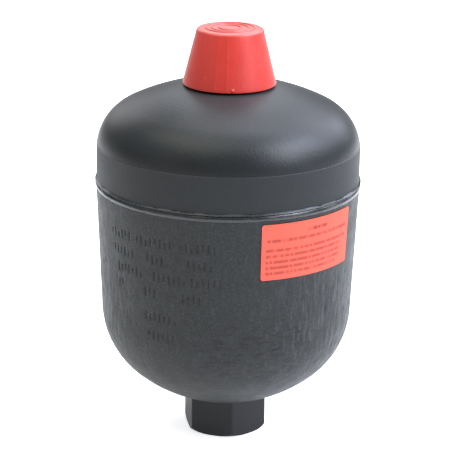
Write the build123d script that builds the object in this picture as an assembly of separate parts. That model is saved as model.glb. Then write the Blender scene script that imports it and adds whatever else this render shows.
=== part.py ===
from build123d import *
import os
from math import cos, radians, sin, sqrt, tan

# A 0.75 litre diaphragm accumulator, in millimetres. Two dished steel shells are welded at their rims round
# the clamped bead of a rubber diaphragm. Gas is above the diaphragm, under the charging boss. Oil is below it,
# over the hexagonal port. The origin is the middle of the port's bottom face, and +Z runs up the axis.

# Pressure shells
SHELL_RADIUS = 55.0          # outside, of the upper shell at the girth weld
WALL = 6.2
UPPER_STRAIGHT = 14.1        # from the girth weld to the knuckle
UPPER_KNUCKLE = 20.5
UPPER_CROWN_RISE = 8.0       # how much higher the crown is than a full knuckle would be
LOWER_RIM_STEP = 0.3         # how far the forging's rim stands outside the upper shell
LOWER_STRAIGHT = 55.4
LOWER_DRAFT = 2.3            # degrees of forging taper
LOWER_KNUCKLE = 36.0
LOWER_CROWN_RISE = 6.4

# Girth weld
GROOVE_HALF_WIDTH = 1.7
ROOT_LAND = 1.0
BEAD_PROUD = 0.8

# Seats that hold the diaphragm
SEAT_DEPTH = 2.0             # how far the seats are turned out of the wall
SEAT_ABOVE_WELD = 9.0
SEAT_BELOW_WELD = 8.0
SEAT_CLEARANCE = 0.1
CLAMP_RING_CONE = 2.6        # how much smaller its bore is at the top than at the foot
RUBBER_BEAD_HEIGHT = 5.0
RUBBER_BEAD_WIDTH = 3.7
RUBBER_WALL = 2.3
RUBBER_CLEARANCE = 0.3

# Closing button in the middle of the diaphragm
BUTTON_MARGIN = 2.0          # how far the button's rim stays inside its seat's
BUTTON_THICKNESS = 3.2
BUTTON_NECK_RADIUS = 5.0
BUTTON_NECK_LENGTH = 2.0
BUTTON_HEAD_RADIUS = 7.5
BUTTON_HEAD_THICKNESS = 2.0
BUTTON_CLEARANCE = 0.25
RUBBER_OVER_BUTTON = 3.0

# Oil port
HEX_ACROSS_FLATS = 32.0
HEX_LENGTH = 16.9            # from the port's bottom face to its seat on the shell
HEX_TURN = 10.5              # degrees from -Y towards +X to a corner
HEX_CORNER_FILLET = 1.0
PORT_FACE_INSET = 1.0        # how far the bottom face's edge is inside the flats
PORT_CROWN_HEIGHT = 3.4      # of the turned rounding round the bottom face
PORT_THREAD_RADIUS = 9.3155  # minor radius of a G 1/2 thread
PORT_THREAD_DEPTH = 14.0
PORT_CHAMFER = 0.8
OIL_PASSAGE_RADIUS = 5.5
OIL_PASSAGE_LIP = 1.0
PORT_SPIGOT_RADIUS = 13.0
DRILL_POINT = 59.0           # half of a drill's point angle
SPIGOT_CLEARANCE = 0.1

# Gas boss
BOSS_RADIUS = 14.0           # over the M28 x 1.5 thread
BOSS_HEIGHT = 11.6           # above its seat on the dome
BOSS_CHAMFER = 1.0
BOSS_SPIGOT_RADIUS = 11.0
BOSS_UNDERCUT_DEPTH = 1.1
BOSS_UNDERCUT_WIDTH = 1.8
BOSS_WELD_LEG = 2.6
GAS_DRILL_RADIUS = 2.0

# Charging screw and its seal
SCREW_HEAD_RADIUS = 9.3
SCREW_HEAD_HEIGHT = 5.6
SCREW_HEAD_CHAMFER = 0.6
SCREW_PROUD = 0.5            # how far the head stands out of the boss
SCREW_RADIUS = 5.1
SCREW_LENGTH = 7.5
SCREW_CLEARANCE = 0.1
SCREW_HEAD_CLEARANCE = 0.3
HEX_KEY = 6.0
HEX_KEY_DEPTH = 4.6
SEAL_SECTION = 0.9           # radius of the O-ring's section
SEAL_RADIUS = 7.4            # to the middle of its section
SEAL_CLEARANCE = 0.1

# Protective cap
CAP_DRAFT = 14.1             # degrees
CAP_CLEARANCE = 0.6          # between the cap's wall and the top of the boss
CAP_HEADROOM = 11.5          # from the top of the boss to the top of the cap
CAP_WALL = 2.0
CAP_TOP_FILLET = 1.4
CAP_RIBS = 6
CAP_RIB_THICKNESS = 1.2
CAP_RIB_CLEARANCE = 0.3      # round the boss's thread
CAP_RING_RADIUS = 9.3        # of the raised ring moulded on the top
CAP_RING_WIDTH = 1.0
CAP_RING_HEIGHT = 0.4
CAP_GATE_RADIUS = 1.3        # of the nub that the moulding leaves on the rim
CAP_GATE_PROUD = 0.5

# Label
LABEL_START = 14.4           # degrees from -Y towards +X
LABEL_END = 63.2
LABEL_BELOW_WELD = 3.1
LABEL_HEIGHT = 23.5
LABEL_THICKNESS = 0.15
LABEL_CORNER = 1.0
LABEL_ADHESIVE = 0.1


def line(*points):
    """Straight edges through (radius, height) points."""
    return Polyline(*points).edges()


def arc(centre, start, end):
    """A round edge about a centre, the short way from start to end."""
    spoke = Vector(*start) - Vector(*centre)
    other = Vector(*end) - Vector(*centre)
    middle = Vector(*centre) + (spoke + other).normalized() * spoke.length
    return ThreePointArc(start, (middle.X, middle.Y), end).edges()


def turned(*outline, sweep=360):
    """The solid that a closed (radius, height) outline sweeps about the Z axis."""
    return revolve(Plane.XZ * make_face([edge for part in outline for edge in part]), Axis.Z, sweep)


def tube(inner, outer, low, high):
    """A plain ring between two radii and two heights."""
    return turned(line((inner, low), (outer, low), (outer, high), (inner, high), (inner, low)))


def rod(radius, low, high):
    """A plain round bar on the Z axis."""
    return Pos(0, 0, low) * Cylinder(radius, high - low, align=(Align.CENTER, Align.CENTER, Align.MIN))


def hexagon(across_flats, low, high, turn=0.0):
    """A hexagonal bar on the Z axis."""
    outline = RegularPolygon(across_flats / 2, 6, major_radius=False, rotation=turn)
    return Pos(0, 0, low) * extrude(outline, high - low)


class Head:
    """Meridian of a dished end: a straight or drafted wall, a knuckle and a crown, each tangent to the next.

    way is +1 for an end that domes upwards and -1 for one that domes downwards. An inset gives the line that
    lies that far inside the outer surface.
    """

    def __init__(self, way, knuckle_z, rim_radius, straight, knuckle, crown_rise, draft):
        self.way = way
        self.slope = tan(radians(draft))
        self.knuckle = knuckle
        self.wall_normal = Vector(cos(radians(draft)), way * sin(radians(draft)))
        wall_end = Vector(rim_radius - straight * self.slope, knuckle_z)
        self.knuckle_centre = wall_end - self.wall_normal * knuckle
        reach = knuckle + crown_rise
        offset = self.knuckle_centre.X
        self.crown = (offset**2 + reach**2 - knuckle**2) / (2 * crown_rise)
        self.apex_z = self.knuckle_centre.Y + way * reach
        self.crown_centre = Vector(0, self.apex_z - way * self.crown)
        self.crown_normal = (self.knuckle_centre - self.crown_centre).normalized()

    def wall_end(self, inset):
        """Where the straight wall meets the knuckle."""
        point = self.knuckle_centre + self.wall_normal * (self.knuckle - inset)
        return point.X, point.Y

    def knuckle_end(self, inset):
        """Where the knuckle meets the crown."""
        point = self.knuckle_centre + self.crown_normal * (self.knuckle - inset)
        return point.X, point.Y

    def wall_radius(self, z, inset=0.0):
        """Radius of the straight wall at a height."""
        radius, end_z = self.wall_end(inset)
        return radius - self.way * (z - end_z) * self.slope

    def crown_z(self, radius, inset=0.0):
        """Height of the crown at a radius."""
        return self.crown_centre.Y + self.way * sqrt((self.crown - inset) ** 2 - radius**2)

    def outline(self, start_z, end_radius, inset=0.0):
        """Edges from a height on the straight wall round to a radius on the crown."""
        start = (self.wall_radius(start_z, inset), start_z)
        end = (end_radius, self.crown_z(end_radius, inset))
        knuckle_centre = (self.knuckle_centre.X, self.knuckle_centre.Y)
        crown_centre = (0, self.crown_centre.Y)
        edges = line(start, self.wall_end(inset))
        edges += arc(knuckle_centre, self.wall_end(inset), self.knuckle_end(inset))
        edges += arc(crown_centre, self.knuckle_end(inset), end)
        return edges


# Heights and radii that several pieces share
HEX_CORNER_RADIUS = HEX_ACROSS_FLATS / 2 / cos(radians(30))
LOWER_RIM_RADIUS = SHELL_RADIUS + LOWER_RIM_STEP
LOWER_SIZES = (LOWER_RIM_RADIUS, LOWER_STRAIGHT, LOWER_KNUCKLE, LOWER_CROWN_RISE, LOWER_DRAFT)
UPPER_SIZES = (SHELL_RADIUS, UPPER_STRAIGHT, UPPER_KNUCKLE, UPPER_CROWN_RISE, 0.0)
LOWER_KNUCKLE_Z = HEX_LENGTH - Head(-1, 0.0, *LOWER_SIZES).crown_z(HEX_CORNER_RADIUS)
LOWER = Head(-1, LOWER_KNUCKLE_Z, *LOWER_SIZES)
WELD_Z = LOWER_KNUCKLE_Z + LOWER_STRAIGHT
UPPER = Head(1, WELD_Z + UPPER_STRAIGHT, *UPPER_SIZES)

BEAD_TOP_Z = WELD_Z + GROOVE_HALF_WIDTH
BEAD_LOW_Z = WELD_Z - GROOVE_HALF_WIDTH
BORE_RADIUS = SHELL_RADIUS - WALL
SEAT_RADIUS = BORE_RADIUS + SEAT_DEPTH
ROOT_RADIUS = SEAT_RADIUS + ROOT_LAND
SHOULDER_Z = WELD_Z + SEAT_ABOVE_WELD
LEDGE_Z = WELD_Z - SEAT_BELOW_WELD
RING_TOP_Z = SHOULDER_Z - RUBBER_BEAD_HEIGHT
RING_FOOT_RADIUS = LOWER.wall_radius(LEDGE_Z, WALL)
RING_TOP_RADIUS = RING_FOOT_RADIUS - CLAMP_RING_CONE

OIL_SEAT_Z = LOWER.crown_z(PORT_SPIGOT_RADIUS, WALL)
BUTTON_RADIUS = PORT_SPIGOT_RADIUS - BUTTON_MARGIN
BUTTON_NECK_Z = OIL_SEAT_Z + BUTTON_THICKNESS
BUTTON_HEAD_Z = BUTTON_NECK_Z + BUTTON_NECK_LENGTH
BUTTON_TOP_Z = BUTTON_HEAD_Z + BUTTON_HEAD_THICKNESS

BOSS_SEAT_Z = UPPER.crown_z(BOSS_RADIUS)
BOSS_TOP_Z = BOSS_SEAT_Z + BOSS_HEIGHT
BOSS_WELD_TOP_Z = BOSS_SEAT_Z + BOSS_WELD_LEG
SCREW_SEAT_Z = BOSS_TOP_Z + SCREW_PROUD - SCREW_HEAD_HEIGHT
SCREW_TOP_Z = BOSS_TOP_Z + SCREW_PROUD
RECESS_RADIUS = SCREW_HEAD_RADIUS + SCREW_HEAD_CLEARANCE
CAP_RIM_Z = BOSS_SEAT_Z
CAP_TOP_Z = BOSS_TOP_Z + CAP_HEADROOM


def upper_shell():
    """The gas half: a cylinder and a flat dome, with a seat for the boss and one for the rubber bead."""
    hole = BOSS_SPIGOT_RADIUS + SPIGOT_CLEARANCE
    outside = UPPER.outline(BEAD_TOP_Z, BOSS_RADIUS)
    boss_hole = line((BOSS_RADIUS, BOSS_SEAT_Z), (hole, BOSS_SEAT_Z), (hole, UPPER.crown_z(hole, WALL)))
    inside = UPPER.outline(SHOULDER_Z, hole, WALL)
    rim = line(
        (BORE_RADIUS, SHOULDER_Z),
        (SEAT_RADIUS, SHOULDER_Z),
        (SEAT_RADIUS, WELD_Z),
        (ROOT_RADIUS, WELD_Z),
        (SHELL_RADIUS, BEAD_TOP_Z),
    )
    return turned(outside, boss_hole, inside, rim)


def lower_shell():
    """The oil half: a deep forging with drafted walls, and a flat seat and hole for the port."""
    hole = PORT_SPIGOT_RADIUS + SPIGOT_CLEARANCE
    outside = LOWER.outline(BEAD_LOW_Z, HEX_CORNER_RADIUS)
    port_hole = line((HEX_CORNER_RADIUS, HEX_LENGTH), (hole, HEX_LENGTH), (hole, LOWER.crown_z(hole, WALL)))
    inside = LOWER.outline(LEDGE_Z, hole, WALL)
    rim = line(
        (RING_FOOT_RADIUS, LEDGE_Z),
        (SEAT_RADIUS, LEDGE_Z),
        (SEAT_RADIUS, WELD_Z),
        (ROOT_RADIUS, WELD_Z),
        (LOWER.wall_radius(BEAD_LOW_Z), BEAD_LOW_Z),
    )
    return turned(outside, port_hole, inside, rim)


def seam_weld():
    """The girth weld: it fills the groove between the rims and stands out in two rounded passes."""
    low = (LOWER.wall_radius(BEAD_LOW_Z), BEAD_LOW_Z)
    top = (SHELL_RADIUS, BEAD_TOP_Z)
    crease = (SHELL_RADIUS + BEAD_PROUD / 2, WELD_Z + GROOVE_HALF_WIDTH / 8)
    low_pass = (SHELL_RADIUS + BEAD_PROUD, (BEAD_LOW_Z + crease[1]) / 2)
    top_pass = (SHELL_RADIUS + BEAD_PROUD, (BEAD_TOP_Z + crease[1]) / 2)
    return turned(
        line(low, (ROOT_RADIUS, WELD_Z), top),
        ThreePointArc(low, low_pass, crease).edges(),
        ThreePointArc(crease, top_pass, top).edges(),
    )


def clamp_ring():
    """The steel ring that stands on the lower seat, backs the weld and presses the rubber bead upwards."""
    outer = SEAT_RADIUS - SEAT_CLEARANCE
    return turned(
        line(
            (RING_FOOT_RADIUS, LEDGE_Z),
            (outer, LEDGE_Z),
            (outer, RING_TOP_Z),
            (RING_TOP_RADIUS, RING_TOP_Z),
            (RING_FOOT_RADIUS, LEDGE_Z),
        )
    )


def diaphragm():
    """The rubber cup: its bead is clamped at the weld and its middle is moulded round the closing button."""
    oil_side = WALL + RUBBER_CLEARANCE
    gas_side = oil_side + RUBBER_WALL
    bead_outer = SEAT_RADIUS - SEAT_CLEARANCE
    bead_inner = bead_outer - RUBBER_BEAD_WIDTH
    throat = RING_TOP_RADIUS - RUBBER_CLEARANCE
    pad_radius = PORT_SPIGOT_RADIUS
    pad_z = LOWER.crown_z(pad_radius, oil_side)
    pad_top_z = BUTTON_TOP_Z + BUTTON_CLEARANCE + RUBBER_OVER_BUTTON
    pad_top_radius = BUTTON_HEAD_RADIUS
    shoulder_radius = BUTTON_RADIUS + RUBBER_OVER_BUTTON
    disc = BUTTON_RADIUS + BUTTON_CLEARANCE
    neck = BUTTON_NECK_RADIUS + BUTTON_CLEARANCE
    head = BUTTON_HEAD_RADIUS + BUTTON_CLEARANCE
    head_top_z = BUTTON_TOP_Z + BUTTON_CLEARANCE
    rim = line(
        (LOWER.wall_radius(LEDGE_Z, oil_side), LEDGE_Z),
        (throat, RING_TOP_Z),
        (bead_outer, RING_TOP_Z),
        (bead_outer, SHOULDER_Z),
        (bead_inner, SHOULDER_Z),
        (throat - RUBBER_WALL, RING_TOP_Z),
        (LOWER.wall_radius(LEDGE_Z, gas_side), LEDGE_Z),
    )
    pad = line(
        (shoulder_radius, LOWER.crown_z(shoulder_radius, gas_side)),
        (pad_top_radius, pad_top_z),
        (0, pad_top_z),
        (0, head_top_z),
        (head, head_top_z),
        (head, BUTTON_HEAD_Z),
        (neck, BUTTON_HEAD_Z),
        (neck, BUTTON_NECK_Z),
        (disc, BUTTON_NECK_Z),
        (disc, pad_z),
        (pad_radius, pad_z),
    )
    outside = LOWER.outline(LEDGE_Z, pad_radius, oil_side)
    inside = LOWER.outline(LEDGE_Z, shoulder_radius, gas_side)
    return turned(rim, outside, pad, inside)


def valve_button():
    """The steel button that shuts the oil passage when all the oil has gone."""
    return turned(
        line(
            (0, OIL_SEAT_Z),
            (BUTTON_RADIUS, OIL_SEAT_Z),
            (BUTTON_RADIUS, BUTTON_NECK_Z),
            (BUTTON_NECK_RADIUS, BUTTON_NECK_Z),
            (BUTTON_NECK_RADIUS, BUTTON_HEAD_Z),
            (BUTTON_HEAD_RADIUS, BUTTON_HEAD_Z),
            (BUTTON_HEAD_RADIUS, BUTTON_TOP_Z),
            (0, BUTTON_TOP_Z),
            (0, OIL_SEAT_Z),
        )
    )


def port_connector():
    """The hexagonal oil port, with a turned bottom edge, a spigot in the shell and a stepped bore."""
    body = hexagon(HEX_ACROSS_FLATS, 0, HEX_LENGTH, HEX_TURN - 90)
    body = fillet(body.edges().filter_by(Axis.Z), HEX_CORNER_FILLET)
    side = (HEX_CORNER_RADIUS, PORT_CROWN_HEIGHT)
    face = (HEX_ACROSS_FLATS / 2 - PORT_FACE_INSET, 0)
    width = side[0] - face[0]
    rounding = (width**2 + PORT_CROWN_HEIGHT**2) / (2 * width)
    crown = turned(
        line(face, (0, 0), (0, HEX_LENGTH), (HEX_CORNER_RADIUS, HEX_LENGTH), side),
        arc((HEX_CORNER_RADIUS - rounding, PORT_CROWN_HEIGHT), side, face),
    )
    body = (body & crown) + rod(PORT_SPIGOT_RADIUS, HEX_LENGTH, OIL_SEAT_Z)
    mouth = PORT_THREAD_RADIUS + PORT_CHAMFER
    cone_end_z = PORT_THREAD_DEPTH + (PORT_THREAD_RADIUS - OIL_PASSAGE_RADIUS) / tan(radians(DRILL_POINT))
    lip_centre = (OIL_PASSAGE_RADIUS + OIL_PASSAGE_LIP, OIL_SEAT_Z - OIL_PASSAGE_LIP)
    lip_start = (OIL_PASSAGE_RADIUS, OIL_SEAT_Z - OIL_PASSAGE_LIP)
    lip_end = (OIL_PASSAGE_RADIUS + OIL_PASSAGE_LIP, OIL_SEAT_Z)
    bore = turned(
        line(
            (0, 0),
            (mouth, 0),
            (PORT_THREAD_RADIUS, PORT_CHAMFER),
            (PORT_THREAD_RADIUS, PORT_THREAD_DEPTH),
            (OIL_PASSAGE_RADIUS, cone_end_z),
            lip_start,
        ),
        arc(lip_centre, lip_start, lip_end),
        line(lip_end, (0, OIL_SEAT_Z), (0, 0)),
    )
    return body - bore


def gas_boss():
    """The charging boss: a spigot in the dome, a threaded outside and a recess for the charging screw."""
    undercut = BOSS_RADIUS - BOSS_UNDERCUT_DEPTH
    undercut_z = BOSS_WELD_TOP_Z + BOSS_UNDERCUT_DEPTH / 2
    bore = SCREW_RADIUS + SCREW_CLEARANCE
    bore_end_z = SCREW_SEAT_Z - SCREW_LENGTH - SCREW_CLEARANCE
    groove_inner = SEAL_RADIUS - SEAL_SECTION - SEAL_CLEARANCE
    groove_outer = SEAL_RADIUS + SEAL_SECTION + SEAL_CLEARANCE
    groove_z = SCREW_SEAT_Z - 2 * SEAL_SECTION - SEAL_CLEARANCE
    spigot_z = UPPER.crown_z(BOSS_SPIGOT_RADIUS, WALL)
    return turned(
        line(
            (GAS_DRILL_RADIUS, spigot_z),
            (BOSS_SPIGOT_RADIUS, spigot_z),
            (BOSS_SPIGOT_RADIUS, BOSS_SEAT_Z),
            (BOSS_RADIUS, BOSS_SEAT_Z),
            (BOSS_RADIUS, undercut_z),
            (undercut, undercut_z + BOSS_UNDERCUT_DEPTH / 2),
            (undercut, undercut_z + BOSS_UNDERCUT_WIDTH),
            (BOSS_RADIUS, undercut_z + BOSS_UNDERCUT_WIDTH + BOSS_UNDERCUT_DEPTH),
            (BOSS_RADIUS, BOSS_TOP_Z - BOSS_CHAMFER),
            (BOSS_RADIUS - BOSS_CHAMFER, BOSS_TOP_Z),
            (RECESS_RADIUS, BOSS_TOP_Z),
            (RECESS_RADIUS, SCREW_SEAT_Z),
            (groove_outer, SCREW_SEAT_Z),
            (groove_outer, groove_z),
            (groove_inner, groove_z),
            (groove_inner, SCREW_SEAT_Z),
            (bore, SCREW_SEAT_Z),
            (bore, bore_end_z),
            (GAS_DRILL_RADIUS, bore_end_z),
            (GAS_DRILL_RADIUS, spigot_z),
        )
    )


def gas_boss_weld():
    """The fillet weld round the foot of the boss."""
    toe = BOSS_RADIUS + BOSS_WELD_LEG
    toe_z = UPPER.crown_z(toe)
    return turned(
        line((toe, toe_z), (BOSS_RADIUS, BOSS_WELD_TOP_Z), (BOSS_RADIUS, BOSS_SEAT_Z)),
        arc((0, UPPER.crown_centre.Y), (BOSS_RADIUS, BOSS_SEAT_Z), (toe, toe_z)),
    )


def charging_screw():
    """The hexagon socket screw that closes the gas side."""
    tip = SCREW_RADIUS - SCREW_HEAD_CHAMFER
    blank = turned(
        line(
            (0, SCREW_SEAT_Z - SCREW_LENGTH),
            (tip, SCREW_SEAT_Z - SCREW_LENGTH),
            (SCREW_RADIUS, SCREW_SEAT_Z - SCREW_LENGTH + SCREW_HEAD_CHAMFER),
            (SCREW_RADIUS, SCREW_SEAT_Z),
            (SCREW_HEAD_RADIUS, SCREW_SEAT_Z),
            (SCREW_HEAD_RADIUS, SCREW_TOP_Z - SCREW_HEAD_CHAMFER),
            (SCREW_HEAD_RADIUS - SCREW_HEAD_CHAMFER, SCREW_TOP_Z),
            (0, SCREW_TOP_Z),
            (0, SCREW_SEAT_Z - SCREW_LENGTH),
        )
    )
    return blank - hexagon(HEX_KEY, SCREW_TOP_Z - HEX_KEY_DEPTH, SCREW_TOP_Z)


def charging_seal():
    """The O-ring in its groove under the charging screw's head."""
    return Pos(0, 0, SCREW_SEAT_Z - SEAL_SECTION - SEAL_CLEARANCE) * Torus(SEAL_RADIUS, SEAL_SECTION)


def cap_radius(z, inset=0.0):
    """Radius of the protective cap's cone at a height."""
    return BOSS_RADIUS + CAP_CLEARANCE + CAP_WALL + (BOSS_TOP_Z - z) * tan(radians(CAP_DRAFT)) - inset


def cap_rib():
    """One rib inside the cap: it grips beside the boss's thread and its shoulder rests on the boss."""
    grip = BOSS_RADIUS + CAP_RIB_CLEARANCE
    shoulder = (RECESS_RADIUS + BOSS_RADIUS - BOSS_CHAMFER) / 2
    low_z = BOSS_WELD_TOP_Z + BOSS_CHAMFER
    ceiling_z = CAP_TOP_Z - CAP_WALL
    inset = CAP_WALL / 2
    outline = make_face(
        line(
            (grip, low_z),
            (grip, BOSS_TOP_Z),
            (shoulder, BOSS_TOP_Z),
            (shoulder, ceiling_z + inset),
            (cap_radius(ceiling_z, inset), ceiling_z),
            (cap_radius(low_z, inset), low_z),
            (grip, low_z),
        )
    )
    return extrude(Plane.XZ * outline, CAP_RIB_THICKNESS / 2, both=True)


def protective_cap():
    """The pull-off plastic cap: a hollow cone with inner ribs and a raised ring on its top."""
    rim_radius = cap_radius(CAP_RIM_Z)
    ceiling_z = CAP_TOP_Z - CAP_WALL
    blank = turned(
        line(
            (0, CAP_RIM_Z),
            (rim_radius, CAP_RIM_Z),
            (cap_radius(CAP_TOP_Z), CAP_TOP_Z),
            (0, CAP_TOP_Z),
            (0, CAP_RIM_Z),
        )
    )
    blank = fillet(blank.edges().group_by(Axis.Z)[-1], CAP_TOP_FILLET)
    gate = rod(CAP_GATE_RADIUS, CAP_RIM_Z, CAP_RIM_Z + CAP_GATE_RADIUS)
    blank += Pos(0, CAP_GATE_RADIUS - CAP_GATE_PROUD - rim_radius, 0) * gate
    hollow = turned(
        line(
            (0, CAP_RIM_Z),
            (cap_radius(CAP_RIM_Z, CAP_WALL), CAP_RIM_Z),
            (cap_radius(ceiling_z, CAP_WALL), ceiling_z),
            (0, ceiling_z),
            (0, CAP_RIM_Z),
        )
    )
    cap = blank - hollow
    for turn in range(CAP_RIBS):
        cap += Rot(0, 0, turn * 360 / CAP_RIBS) * cap_rib()
    ring_inner = CAP_RING_RADIUS - CAP_RING_WIDTH
    return cap + tube(ring_inner, CAP_RING_RADIUS, CAP_TOP_Z, CAP_TOP_Z + CAP_RING_HEIGHT)


def label():
    """The thin printed label wrapped round the right of the lower shell."""
    top_z = WELD_Z - LABEL_BELOW_WELD
    low_z = top_z - LABEL_HEIGHT
    back_top = LOWER.wall_radius(top_z) + LABEL_ADHESIVE
    back_low = LOWER.wall_radius(low_z) + LABEL_ADHESIVE
    sheet = turned(
        line(
            (back_low, low_z),
            (back_low + LABEL_THICKNESS, low_z),
            (back_top + LABEL_THICKNESS, top_z),
            (back_top, top_z),
            (back_low, low_z),
        ),
        sweep=LABEL_END - LABEL_START,
    )
    corners = [edge for edge in sheet.edges() if edge.length < 2 * LABEL_THICKNESS]
    return Rot(0, 0, LABEL_START - 90) * fillet(corners, LABEL_CORNER)


PIECES = {
    "upper_shell": upper_shell,
    "lower_shell": lower_shell,
    "seam_weld": seam_weld,
    "clamp_ring": clamp_ring,
    "diaphragm": diaphragm,
    "valve_button": valve_button,
    "port_connector": port_connector,
    "gas_boss": gas_boss,
    "gas_boss_weld": gas_boss_weld,
    "charging_screw": charging_screw,
    "charging_seal": charging_seal,
    "protective_cap": protective_cap,
    "label": label,
}

os.makedirs("parts", exist_ok=True)
for name, make in PIECES.items():
    export_step(make(), f"parts/{name}.step")
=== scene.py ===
from math import acos, atan2, cos, degrees, pi, radians, sin, tan

import bpy
from mathutils import Matrix, Vector, noise


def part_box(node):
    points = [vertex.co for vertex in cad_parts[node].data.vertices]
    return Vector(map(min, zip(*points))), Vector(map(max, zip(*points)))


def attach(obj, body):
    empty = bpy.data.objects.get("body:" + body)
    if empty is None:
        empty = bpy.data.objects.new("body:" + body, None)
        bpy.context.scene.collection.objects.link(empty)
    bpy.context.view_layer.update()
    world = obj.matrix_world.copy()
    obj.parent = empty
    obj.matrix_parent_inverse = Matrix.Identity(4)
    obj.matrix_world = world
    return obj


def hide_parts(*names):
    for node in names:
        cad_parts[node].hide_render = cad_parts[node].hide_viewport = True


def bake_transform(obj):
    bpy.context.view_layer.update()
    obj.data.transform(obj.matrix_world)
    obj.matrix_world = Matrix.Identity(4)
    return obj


# The look of a welded diaphragm accumulator, in metres, built round its CAD model.
# The vessel's axis is +Z. Azimuths run from -Y, where the camera stands, towards +X.
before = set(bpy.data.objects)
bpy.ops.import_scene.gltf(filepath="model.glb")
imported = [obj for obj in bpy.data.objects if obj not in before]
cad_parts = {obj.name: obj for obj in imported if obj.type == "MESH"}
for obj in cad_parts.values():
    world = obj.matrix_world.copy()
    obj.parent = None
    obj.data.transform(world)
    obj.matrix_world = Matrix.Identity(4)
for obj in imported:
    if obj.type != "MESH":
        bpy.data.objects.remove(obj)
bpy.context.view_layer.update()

MM = 0.001
MERGE = 0.001 * MM

# Places and sizes that the CAD model gives
LOWER_BOTTOM_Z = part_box("lower_shell")[0].z
SHELL_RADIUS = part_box("upper_shell")[1].x
BEAD_LOW, BEAD_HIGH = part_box("seam_weld")
RING_BOTTOM_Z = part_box("clamp_ring")[0].z
RUBBER_TOP_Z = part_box("diaphragm")[1].z
PORT_BOTTOM_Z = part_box("port_connector")[0].z
BOSS_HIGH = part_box("gas_boss")[1]
BOSS_WELD_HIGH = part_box("gas_boss_weld")[1]
SCREW_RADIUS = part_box("charging_screw")[1].x
CAP_LOW, CAP_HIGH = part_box("protective_cap")
LABEL_LOW, LABEL_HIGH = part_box("label")
SEAM_Z = (BEAD_LOW.z + BEAD_HIGH.z) / 2

# Pressure shells
WALL = 6.2 * MM
UPPER_STRAIGHT = 14.1 * MM
UPPER_DRAFT = 0.0
UPPER_KNUCKLE = 20.5 * MM
UPPER_CROWN_RISE = 8.0 * MM
LOWER_RADIUS = SHELL_RADIUS + 0.3 * MM
LOWER_STRAIGHT = 55.4 * MM
LOWER_DRAFT = radians(2.3)
LOWER_KNUCKLE = 36.0 * MM
LOWER_CROWN_RISE = 6.4 * MM
SEAT_RADIUS = SHELL_RADIUS - WALL + 2.0 * MM     # the seat for the clamp ring and the rubber's bead
ROOT_RADIUS = SEAT_RADIUS + 1.0 * MM             # the root of the girth weld
BOSS_SEAT_RADIUS = BOSS_HIGH.x
BOSS_HOLE_RADIUS = 11.1 * MM
PORT_SEAT_RADIUS = 18.475 * MM
PORT_HOLE_RADIUS = 13.1 * MM
UPPER_SEGMENTS = 288
LOWER_SEGMENTS = 448
SKIN_STEP = 0.8 * MM
DOME_STEP = 1.2 * MM
INSIDE_STEP = 5.0 * MM


def between(start, end, step):
    """Evenly spaced points on a straight stretch, without its first point."""
    start, end = Vector(start), Vector(end)
    count = max(1, round((end - start).length / step))
    return [tuple(start.lerp(end, n / count)) for n in range(1, count + 1)]


def bow(centre, radius, start, end, step):
    """Evenly spaced points on a round stretch, from one angle to another, without its first point."""
    count = max(1, round(radius * abs(end - start) / step))
    angles = [start + (end - start) * n / count for n in range(1, count + 1)]
    return [(centre[0] + radius * cos(a), centre[1] + radius * sin(a)) for a in angles]


class DishedEnd:
    """The line of a dished end: a drafted wall, a knuckle and a crown, each tangent to the next.

    way is +1 for an end that domes upwards and -1 for one that domes downwards.
    An inset gives the line that lies that far inside the outer surface.
    """

    def __init__(self, way, rim_radius, straight, knuckle, crown_rise, draft):
        self.way = way
        self.draft = draft
        self.knuckle = knuckle
        wall_end = Vector((rim_radius - straight * tan(draft), SEAM_Z + way * straight))
        self.knuckle_centre = wall_end - Vector((cos(draft), way * sin(draft))) * knuckle
        reach = knuckle + crown_rise
        offset = self.knuckle_centre.x
        self.crown = (offset**2 + reach**2 - knuckle**2) / (2 * crown_rise)
        self.crown_centre = Vector((0, self.knuckle_centre.y + way * (reach - self.crown)))
        spoke = self.knuckle_centre - self.crown_centre
        self.bend = atan2(spoke.y, spoke.x)

    def wall_end(self, inset=0.0):
        """Where the straight wall meets the knuckle."""
        normal = Vector((cos(self.draft), self.way * sin(self.draft)))
        return self.knuckle_centre + normal * (self.knuckle - inset)

    def wall_radius(self, z, inset=0.0):
        """Radius of the straight wall at a height."""
        end = self.wall_end(inset)
        return end.x - self.way * (z - end.y) * tan(self.draft)

    def knuckle_radius(self, z):
        """Radius of the knuckle at a height."""
        return self.knuckle_centre.x + (self.knuckle**2 - (z - self.knuckle_centre.y) ** 2) ** 0.5

    def crown_z(self, radius, inset=0.0):
        """Height of the crown at a radius."""
        return self.crown_centre.y + self.way * ((self.crown - inset) ** 2 - radius**2) ** 0.5

    def line(self, start_z, end_radius, step, inset=0.0):
        """Points from a height on the straight wall round to a radius on the crown."""
        start = (self.wall_radius(start_z, inset), start_z)
        crown = self.crown - inset
        last = self.way * acos(end_radius / crown)
        points = [start] + between(start, self.wall_end(inset), step)
        points += bow(self.knuckle_centre, self.knuckle - inset, self.way * self.draft, self.bend, step)
        return points + bow(self.crown_centre, crown, self.bend, last, step)


UPPER = DishedEnd(1, SHELL_RADIUS, UPPER_STRAIGHT, UPPER_KNUCKLE, UPPER_CROWN_RISE, UPPER_DRAFT)
LOWER = DishedEnd(-1, LOWER_RADIUS, LOWER_STRAIGHT, LOWER_KNUCKLE, LOWER_CROWN_RISE, LOWER_DRAFT)


# ---------------------------------------------------------------- modelling

def start_piece(add, name, **place):
    """One new primitive under its own name, alone in edit mode."""
    bpy.ops.object.select_all(action="DESELECT")
    add(**place)
    piece = bpy.context.object
    piece.name = name
    piece.data.name = name
    bpy.ops.object.mode_set(mode="EDIT")
    bpy.ops.mesh.select_mode(type="VERT")
    return piece


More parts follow.
